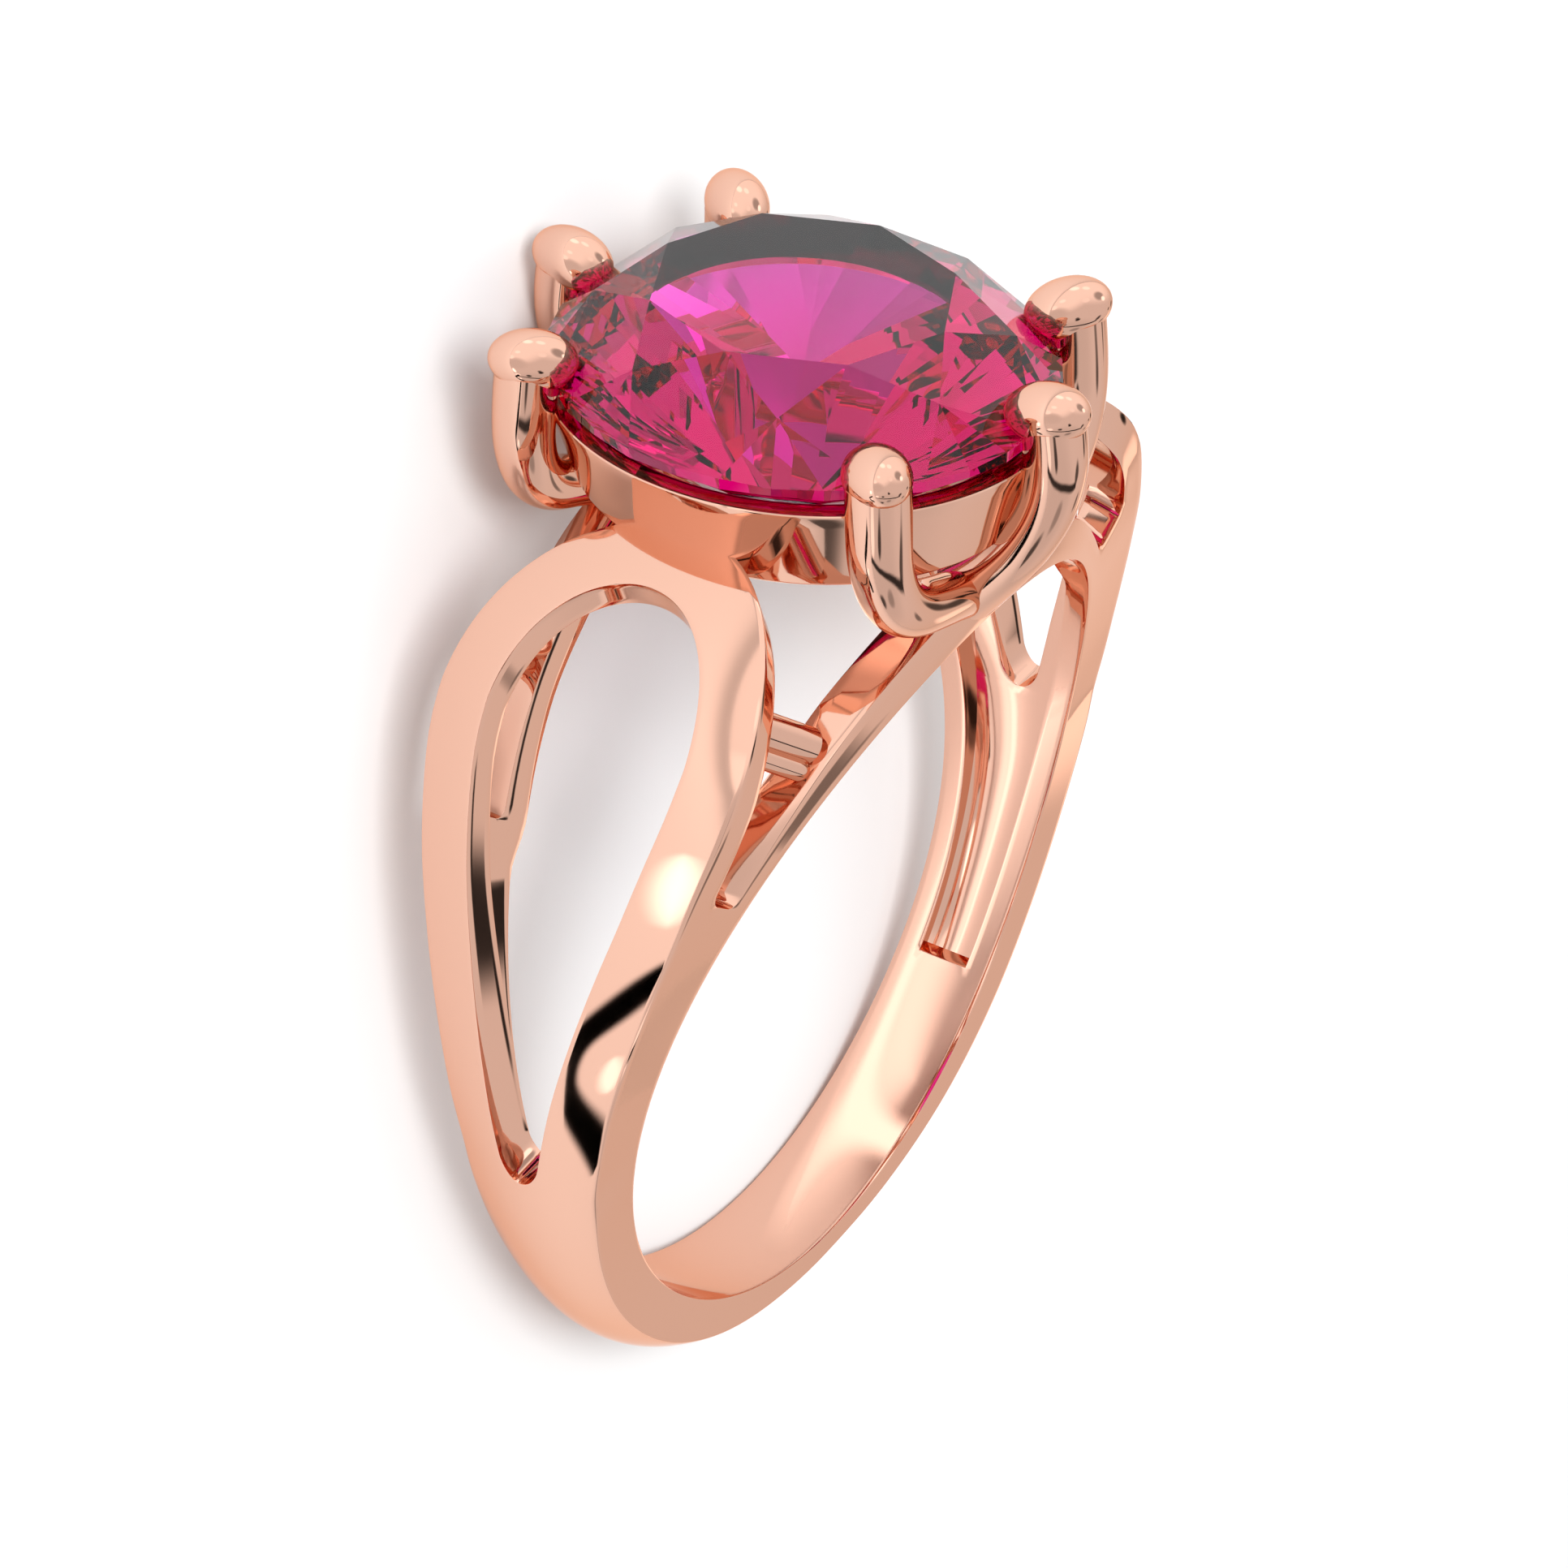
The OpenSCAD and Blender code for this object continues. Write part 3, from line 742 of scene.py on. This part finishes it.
def card(name, place, rows, bright, edge):
    """A card that fades in from its rim, and is full from where it is edge solid."""
    middle, side, up = place
    path = smooth_path(rows, CARD_STEPS)
    along = np.gradient(path[:, :2], axis=0)
    along /= np.linalg.norm(along, axis=1)[:, None]
    across = np.stack([-along[:, 1], along[:, 0]], 1) * path[:, 2:3] / 2
    bm = bmesh.new()
    solid = bm.verts.layers.float.new("solid")
    lines = []
    for share in (-1, 0, 1):
        line = []
        for (x, z), centre in zip(path[:, :2] + across * share, path[:, 3]):
            vert = bm.verts.new((middle + side * x + up * z) * MM)
            vert[solid] = 0 if share else centre
            line.append(vert)
        lines.append(line)
    for first, second in zip(lines, lines[1:]):
        for i in range(len(first) - 1):
            bm.faces.new((first[i], first[i + 1], second[i + 1], second[i]))
    mesh = bpy.data.meshes.new(name)
    bm.to_mesh(mesh)
    bm.free()
    material, tree, bsdf = shader(name)
    tree.nodes.remove(bsdf)
    solid_here = tree.nodes.new("ShaderNodeAttribute")
    solid_here.attribute_name = "solid"
    fade = tree.nodes.new("ShaderNodeMapRange")
    fade.interpolation_type = "SMOOTHSTEP"
    fade.inputs["From Max"].default_value = edge
    tree.links.new(solid_here.outputs["Fac"], fade.inputs["Value"])
    clear = tree.nodes.new("ShaderNodeBsdfTransparent")
    glow = tree.nodes.new("ShaderNodeEmission")
    glow.inputs["Strength"].default_value = bright
    mixed = tree.nodes.new("ShaderNodeMixShader")
    tree.links.new(fade.outputs["Result"], mixed.inputs["Fac"])
    tree.links.new(clear.outputs["BSDF"], mixed.inputs[1])
    tree.links.new(glow.outputs["Emission"], mixed.inputs[2])
    tree.links.new(mixed.outputs["Shader"], tree.nodes["Material Output"].inputs["Surface"])
    mesh.materials.append(material)
    panel = bpy.data.objects.new(name, mesh)
    panel.visible_camera = panel.visible_diffuse = False
    panel.visible_transmission = panel.visible_shadow = False
    bpy.context.scene.collection.objects.link(panel)


def oval_rows(x, z, half_x, half_z):
    """Rows of a round lamp, for a card that fades from its middle."""
    rows = []
    for share in np.linspace(-1, 1, 13):
        rise = max(0.02, math.sqrt(1 - share ** 2))
        rows.append((x + half_x * share, z, 2 * half_z * rise, rise if abs(share) < 1 else 0))
    return rows


def cards():
    near = upright(115, 24)
    card("black_strip", near,
         [(-10.5, 5.6, 2.6, 1), (-8.4, 3.2, 3, 1), (-6.6, 0.6, 2.6, 1), (-3.8, 0, 2.4, 1),
          (-1.2, 1.2, 3.2, 1), (1.6, 2.7, 3.6, 1), (5, 3.1, 2.2, 1)], bright=0, edge=0.5)
    card("small_lamp", near, oval_rows(-3.5, 3.4, 1.4, 1.1), bright=2.2, edge=0.8)
    card("long_lamp", upright(115, 24.2), oval_rows(-18.6, 4.5, 4.6, 2.6), bright=2.8, edge=1)
    card("inside_lamp", lying(-2, 3, 180), oval_rows(0, 0, 6, 4), bright=1.8, edge=1)
    card("low_lamp", lying(-3.7, 3, 348.5, 0.15),
         [(-5, 0, 0.8, 0.2), (-2.5, 0, 1.4, 1), (0.5, 0, 1.8, 1), (4, 0, 2.6, 1), (8, 0, 3.4, 1),
          (9.5, 0, 3.4, 0.4)], bright=2.1, edge=0.8)
    card("arc", upright(150, 60),
         [(-42, 7.2, 6, 1), (-34.6, 18.6, 7, 1), (-26.7, 27.9, 8, 1), (-18.3, 37.7, 9, 1),
          (-6.3, 48, 11, 1), (8.4, 58.5, 13, 1), (26.7, 66.8, 15, 1), (48.6, 74.6, 18, 1),
          (79.6, 86.7, 20, 1)], bright=0.04, edge=0.7)
    card("far_panel", lying(-20, -5, 82),
         [(-6, 0, 0.8, 0.5), (0, 0, 1.4, 1), (6, 0, 0.8, 0.5)], bright=0.1, edge=0.6)


def camera():
    roll = math.radians(CAMERA["roll"])
    back = direction(CAMERA["azimuth"], CAMERA["elevation"])
    level = direction(CAMERA["azimuth"] + 90, 0)
    upward = back.cross(level)
    right = level * math.cos(roll) + upward * math.sin(roll)
    up = upward * math.cos(roll) - level * math.sin(roll)
    place = back * CAMERA["distance"] + right * CAMERA["right"] + up * CAMERA["up"]
    eye = bpy.data.objects.new("camera", bpy.data.cameras.new("camera"))
    eye.data.sensor_fit = "HORIZONTAL"
    eye.data.sensor_width = SENSOR
    eye.data.lens = CAMERA["focal_px"] * SENSOR / PHOTO_PX
    eye.data.clip_start = 0.001
    turn = TURN @ Matrix((right, up, back)).transposed()
    eye.matrix_world = Matrix.Translation(LAY_DOWN @ place) @ turn.to_4x4()
    bpy.context.scene.collection.objects.link(eye)
    bpy.context.scene.camera = eye


floor()
studio()
key_light()
cards()
camera()
scene = bpy.context.scene
scene.view_settings.view_transform = "Standard"
# Enough bounces for light to find its way out of the stone
scene.cycles.max_bounces = scene.cycles.transmission_bounces = 24
scene.cycles.glossy_bounces = 16
